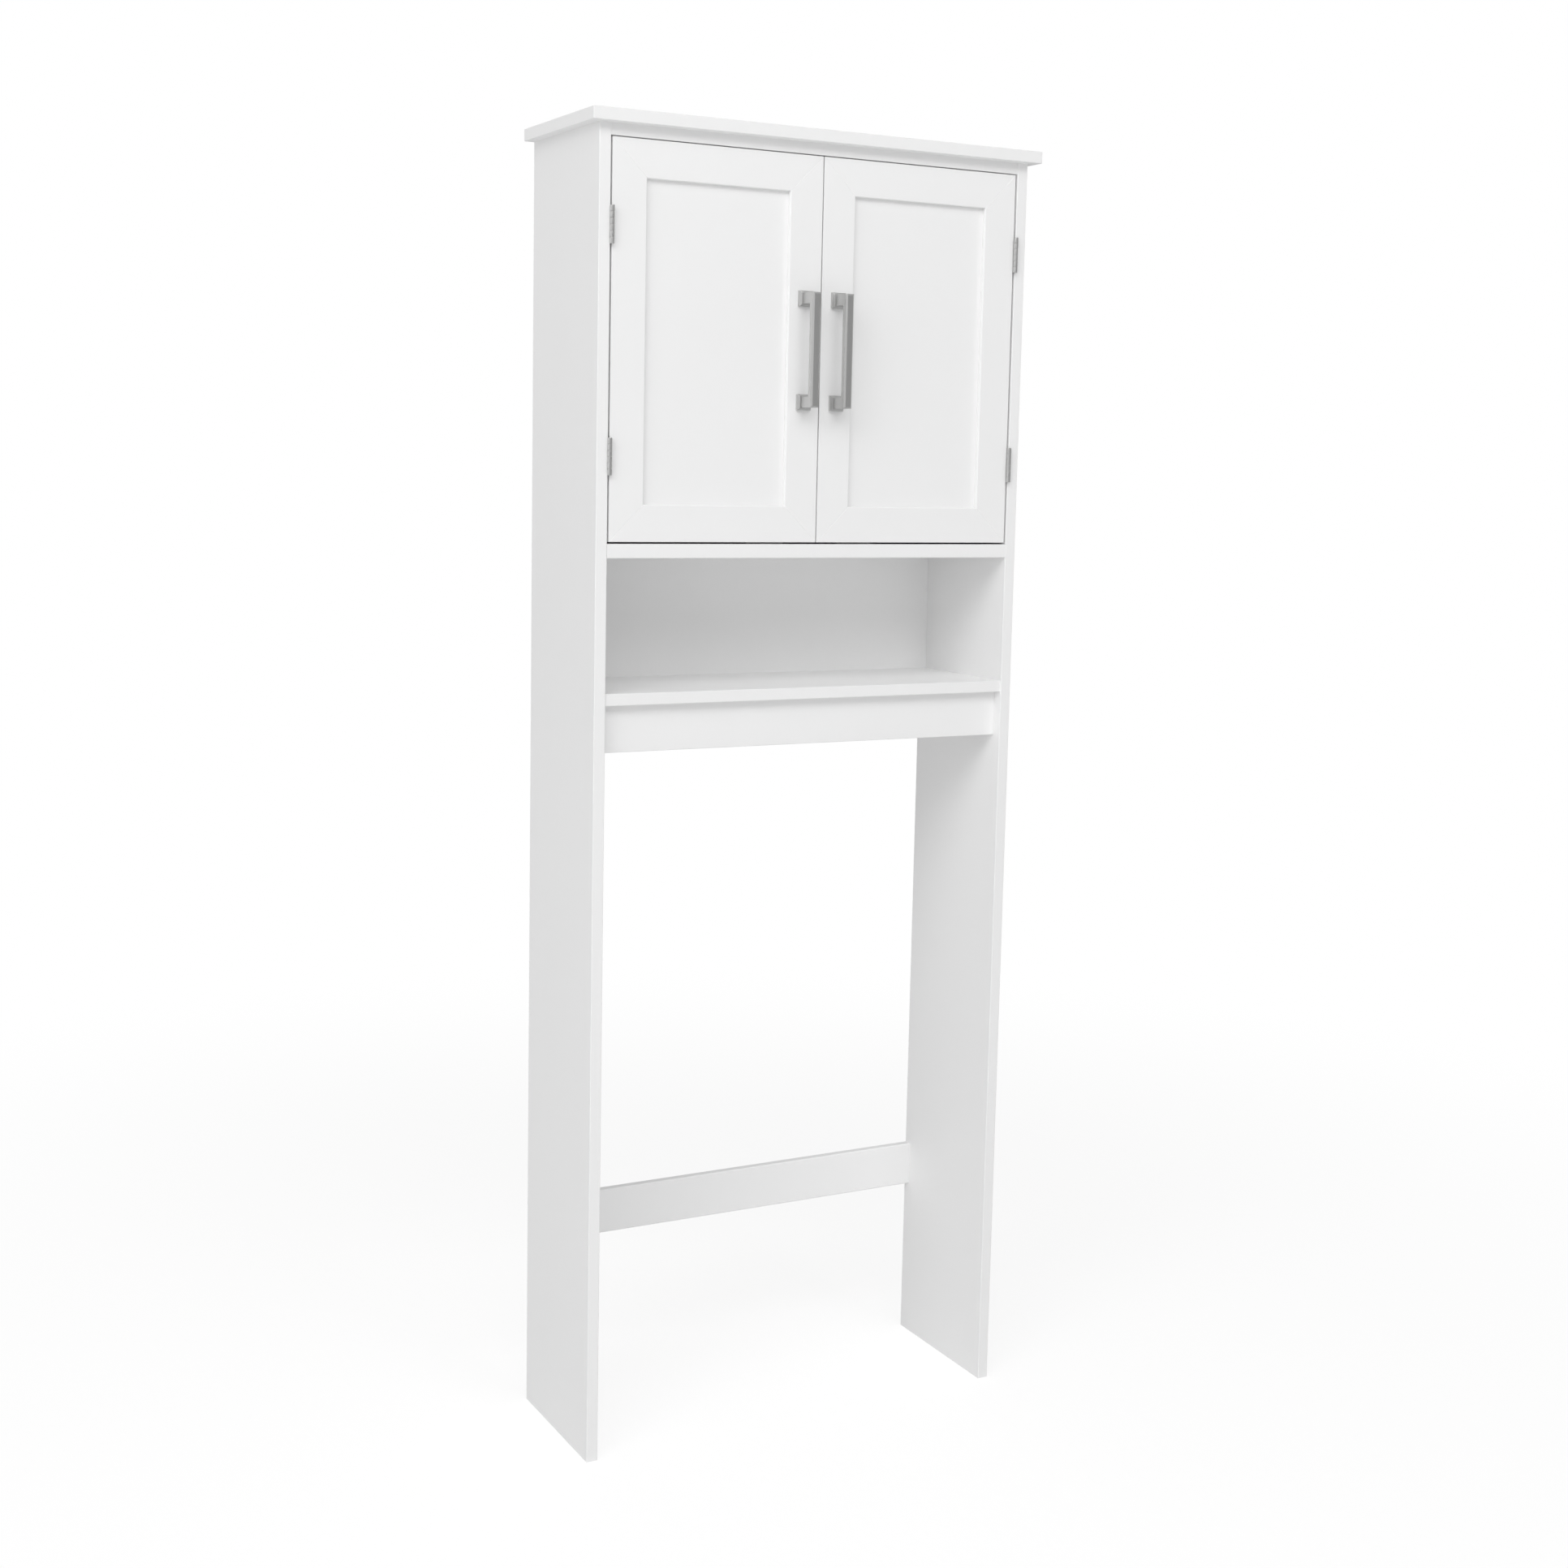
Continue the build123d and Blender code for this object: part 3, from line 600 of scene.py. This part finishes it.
# Screws that show when the doors are open: countersunk in the hinge leaves and strike plates,
# pan-headed on the catches and behind the pulls. Plated steel with a punched cross recess, which is
# given in shares of the head's flat top.
screw_radius = 0.0015
screw_length = 0.011
tip_share = 0.2
recess_reach = 0.62
recess_half = 0.16
recess_depth = 0.45
recess_taper = 0.6
head_rim = 0.0001
pan_crown = ((0.72, 1.0), (0.93, 0.8), (1.0, 0.45))
leaf_screw_pitch = 0.027
leaf_screw_inset = 0.007
leaf_screw_proud = 0.00006
strike_head_radius = 0.0027
strike_head_depth = 0.0012
strike_screw_proud = 0.00005
pull_screw_radius = 0.002
pull_head_height = 0.0024
catch_head_radius = 0.0029
catch_head_height = 0.0018
catch_screw_reach = 0.0205


def screw_mesh(data, matrix, head, length):
    """A screw with its cross recess: head is (radius, z) from the rim of its flat top to the shank."""
    shank = head[-1][0]
    tip = [(shank, shank - length), (shank * tip_share, -length)]
    rings = turned(data, matrix, head + tip, first_cap=False)
    top_radius, top = head[0]
    reach, half = top_radius * recess_reach, top_radius * recess_half
    bottom = top - top_radius * recess_depth
    arm = [Vector((reach, -half, top)), Vector((reach, half, top)), Vector((half, half, top))]
    outline = []
    for quarter in range(4):
        turn = Matrix.Rotation(quarter * math.pi / 2, 4, "Z")
        outline += [turn @ point for point in arm]
    floor = [Vector((point.x * recess_taper, point.y * recess_taper, bottom)) for point in outline]
    recess = [[data.verts.new(matrix @ point) for point in loop] for loop in (outline, floor)]
    skin(data, recess, first_cap=False)
    edges = []
    for loop in (rings[0], recess[0]):
        edges += [data.edges.get(pair) for pair in zip(loop, loop[1:] + loop[:1])]
    bmesh.ops.triangle_fill(data, edges=edges, use_beauty=True, use_dissolve=False)


def countersunk(radius, depth):
    """Rim to shank of a countersunk head whose flat top is at Z zero."""
    return [(radius, 0.0), (radius, -head_rim), (screw_radius, -depth)]


def pan_head(radius, height, shank):
    """Rim to shank of a pan head whose seat is at Z zero."""
    crown = [(radius * across, height * rise) for across, rise in pan_crown]
    return crown + [(radius, 0.0), (shank, 0.0)]


def looking(point, direction):
    """A frame at a point whose Z looks along a direction."""
    return Matrix.Translation(point) @ Vector(direction).to_track_quat("Z", "Y").to_matrix().to_4x4()


def leaf_screw_frames(kind, *sides):
    """Frames of the countersunk screws in the leaves of one kind."""
    face = leaf_thick / 2 + leaf_screw_proud - plate_offset
    frames = []
    for side in sides:
        way = leaf_side(side, kind)
        for place in ("upper", "lower"):
            low, high = corners(f"{side}_{place}_{kind}_leaf")
            x = pin_axis(side, place).x + way * face
            for offset in (-leaf_screw_pitch / 2, leaf_screw_pitch / 2):
                point = (x, carcass_front + leaf_screw_inset, (low.z + high.z) / 2 + offset)
                frames.append(looking(point, (way, 0, 0)))
    return frames


def screws(name, frames, head, length, body, node):
    """One piece that holds all the screws of a CAD node."""
    data = bmesh.new()
    for matrix in frames:
        screw_mesh(data, matrix, head, length)
    finished(data, name, plated_steel, "plated_steel", body, node)


leaf_head = countersunk(screw_radius + leaf_thick, leaf_thick)
frames = leaf_screw_frames("case", "left", "right")
screws("case_leaf_screws", frames, leaf_head, screw_length, "cabinet", "case_hinge_screws")
for side in ("left", "right"):
    door = f"{side}_door"
    frames = leaf_screw_frames("door", side)
    screws(f"{side}_door_leaf_screws", frames, leaf_head, screw_length, door, f"{side}_door_hinge_screws")

    node = f"{side}_strike_screw"
    low, high = corners(node)
    point = ((low.x + high.x) / 2, high.y + strike_screw_proud, (low.z + high.z) / 2)
    head = countersunk(strike_head_radius, strike_head_depth)
    screws(f"{side}_strike_plate_screw", [looking(point, (0, 1, 0))], head, screw_length, door, node)

    node = f"{side}_pull_screws"
    low, high = corners(node)
    head_radius = (high.x - low.x) / 2
    seat = high.y - pull_head_height
    levels = (low.z + head_radius, high.z - head_radius)
    frames = [looking(((low.x + high.x) / 2, seat, z), (0, 1, 0)) for z in levels]
    head = pan_head(head_radius, pull_head_height, pull_screw_radius)
    screws(f"{side}_pull_fixing_screws", frames, head, seat - low.y, door, node)

low, high = corners("catch_screws")
seat = high.z - catch_head_height
frames = []
for side in ("left", "right"):
    housing_low, housing_high = corners(f"{side}_catch_housing")
    middle = (housing_low.x + housing_high.x) / 2
    for offset in (-catch_screw_reach, catch_screw_reach):
        frames.append(looking((middle + offset, (low.y + high.y) / 2, seat), (0, 0, 1)))
head = pan_head(catch_head_radius, catch_head_height, screw_radius)
screws("catch_fixing_screws", frames, head, seat - low.z, "cabinet", "catch_screws")

# Magnetic catches: moulded white housings screwed to the cabinet floor, each with a ferrite magnet in front,
# and thin plated strike plates on the doors that they hold.
catch_plastic = coated(
    "catch_plastic", colour=(0.80, 0.80, 0.79), roughness=0.35, peel_per_metre=700.0, peel_depth=0.00006
)
ferrite = coated(
    "ferrite", colour=(0.035, 0.035, 0.038), roughness=0.62, peel_per_metre=1300.0, peel_depth=0.00015
)
for side in ("left", "right"):
    dress(catch_plastic, f"{side}_catch_housing")
    dress(ferrite, f"{side}_catch_magnet")
    dress(plated_steel, f"{side}_strike_plate")

# Studio floor: a wide pale floor that keeps a faint shadow close to the cabinet and goes over into a white
# sweep further out. In the metal the sweep is white behind, dimmer in front and darkest at the right.
floor_size = 40.0
floor_squares = 8
floor_white = (0.97, 0.97, 0.97, 1.0)
floor_roughness = 0.9
floor_reach = 4.0
shadow_share = 0.3
lit_floor = 0.76
sweep_start = 0.7
sweep_end = 2.6
front_tone = 0.5
front_start, front_end = -0.9, 0.2
right_tone = 0.41
right_start, right_end = -0.6, 0.2


def seen_rays(tree):
    """The rays to the camera, and all that show the studio itself, by a mirror or glass too."""
    rays = add_node(tree, "ShaderNodeLightPath").outputs
    mirrored = combine(tree, "MAXIMUM", rays["Is Glossy Ray"], rays["Is Transmission Ray"])
    return rays["Is Camera Ray"], combine(tree, "MAXIMUM", rays["Is Camera Ray"], mirrored)


def room_tone(tree, place, reach):
    """How bright the room looks in the metal, by the place in it as a share of a reach."""
    axes = add_node(tree, "ShaderNodeSeparateXYZ")
    feed(tree, axes.inputs["Vector"], place)
    front = spread(tree, axes.outputs["Y"], front_tone, 1.0, front_start * reach, front_end * reach)
    right = spread(tree, axes.outputs["X"], 1.0, right_tone, right_start * reach, right_end * reach)
    return combine(tree, "MINIMUM", front, right)


def mixed(tree, share, first, second):
    """Two shaders, mixed by the share of the second."""
    node = add_node(tree, "ShaderNodeMixShader")
    for socket, content in enumerate((share, first, second)):
        feed(tree, node.inputs[socket], content)
    return node.outputs["Shader"]


def floor_paint():
    """Matt paint for light and shadow, and a glow that brings what the camera sees up to white."""
    material, tree, paint = blank_finish("floor_paint")
    paint.inputs["Base Color"].default_value = floor_white
    paint.inputs["Roughness"].default_value = floor_roughness
    paint.inputs["Specular IOR Level"].default_value = 0.0
    place = add_node(tree, "ShaderNodeTexCoord").outputs["Object"]
    away = add_node(tree, "ShaderNodeVectorMath", operation="LENGTH")
    feed(tree, away.inputs[0], place)
    fade = add_node(tree, "ShaderNodeMapRange", interpolation_type="SMOOTHSTEP")
    for socket, content in (
        ("Value", away.outputs["Value"]), ("From Min", sweep_start), ("From Max", sweep_end)
    ):
        feed(tree, fade.inputs[socket], content)
    camera_rays, shown = seen_rays(tree)
    near_white = (1.0 - shadow_share * lit_floor) / (1.0 - shadow_share)
    near_glow = add_node(tree, "ShaderNodeEmission", Strength=near_white)
    near_look = mixed(tree, 1.0 - shadow_share, paint.outputs["BSDF"], near_glow.outputs["Emission"])
    far_glow = add_node(tree, "ShaderNodeEmission")
    far_tone = combine(tree, "MAXIMUM", room_tone(tree, place, floor_reach), camera_rays)
    feed(tree, far_glow.inputs["Strength"], far_tone)
    in_mirrors = combine(tree, "SUBTRACT", 1.0, camera_rays)
    far_share = combine(tree, "MAXIMUM", fade.outputs["Result"], in_mirrors)
    look = mixed(tree, far_share, near_look, far_glow.outputs["Emission"])
    surface = mixed(tree, shown, paint.outputs["BSDF"], look)
    feed(tree, tree.nodes["Material Output"].inputs["Surface"], surface)
    return material


data = bmesh.new()
bmesh.ops.create_grid(data, x_segments=floor_squares, y_segments=floor_squares, size=floor_size / 2)
floor_mesh = bpy.data.meshes.new("studio_floor")
data.to_mesh(floor_mesh)
data.free()
floor_mesh.materials.append(floor_paint())
floor = bpy.data.objects.new("studio_floor", floor_mesh)
bpy.context.scene.collection.objects.link(floor)

# Studio room: even light from all round the cabinet, as from pale walls and a ceiling.
# The camera sees it as plain white, and the metal sees it dimmer in front and darkest at the right.
round_light = 0.405
room_white = (1.0, 1.0, 1.0, 1.0)
room_reach = 1.0

world = bpy.data.worlds.new("studio")
world.use_nodes = True
bpy.context.scene.world = world
tree = world.node_tree
tree.nodes.clear()
direction = add_node(tree, "ShaderNodeTexCoord").outputs["Generated"]
camera_rays, shown = seen_rays(tree)
light = add_node(tree, "ShaderNodeBackground", Color=room_white, Strength=round_light)
sweep = add_node(tree, "ShaderNodeBackground", Color=room_white)
sweep_tone = combine(tree, "MAXIMUM", room_tone(tree, direction, room_reach), camera_rays)
feed(tree, sweep.inputs["Strength"], sweep_tone)
room = mixed(tree, shown, light.outputs["Background"], sweep.outputs["Background"])
feed(tree, add_node(tree, "ShaderNodeOutputWorld").inputs["Surface"], room)

# Studio lamps: a large soft lamp high at the front left and a weaker one at the left, which lifts the left
# side panel and is kept out of reflections. Both are aimed near the middle of the cabinet.
lamp_aim = Vector((0.0, 0.0, 0.9))


def softbox(name, width, height, power, place):
    """A soft lamp aimed at the cabinet."""
    lamp = bpy.data.lights.new(name, "AREA")
    lamp.shape = "RECTANGLE"
    lamp.size = width
    lamp.size_y = height
    lamp.energy = power
    stand = bpy.data.objects.new(name, lamp)
    stand.location = place
    stand.rotation_euler = (lamp_aim - Vector(place)).to_track_quat("-Z", "Y").to_euler()
    bpy.context.scene.collection.objects.link(stand)
    return stand


softbox("key_softbox", width=9.0, height=3.4, power=270.0, place=(-2.20, -4.71, 5.58))
side_lamp = softbox("side_softbox", width=3.6, height=3.6, power=51.0, place=(-5.60, -2.61, 2.91))
side_lamp.visible_glossy = False

# Camera: stands at the left in front of the cabinet, level with the lower part of the doors, and looks
# slightly down. It leans by about a degree, and its frame is shifted a little, as the photograph's is.
camera_place = Vector((-1.3248, -2.4866, 1.2641))
camera_aim = Vector((-0.0408, -0.0890, 0.9277))
camera_roll = math.radians(1.195)
film_width = 36.0
lens_length = 49.33
frame_shift = -0.0342

camera_data = bpy.data.cameras.new("photo_camera")
camera_data.sensor_width = film_width
camera_data.lens = lens_length
camera_data.shift_y = frame_shift
camera = bpy.data.objects.new("photo_camera", camera_data)
camera.location = camera_place
sight = (camera_aim - camera_place).to_track_quat("-Z", "Y").to_matrix()
camera.rotation_euler = (sight @ Matrix.Rotation(camera_roll, 3, "Z")).to_euler()
bpy.context.scene.collection.objects.link(camera)
bpy.context.scene.camera = camera
bpy.context.scene.view_settings.view_transform = "Standard"
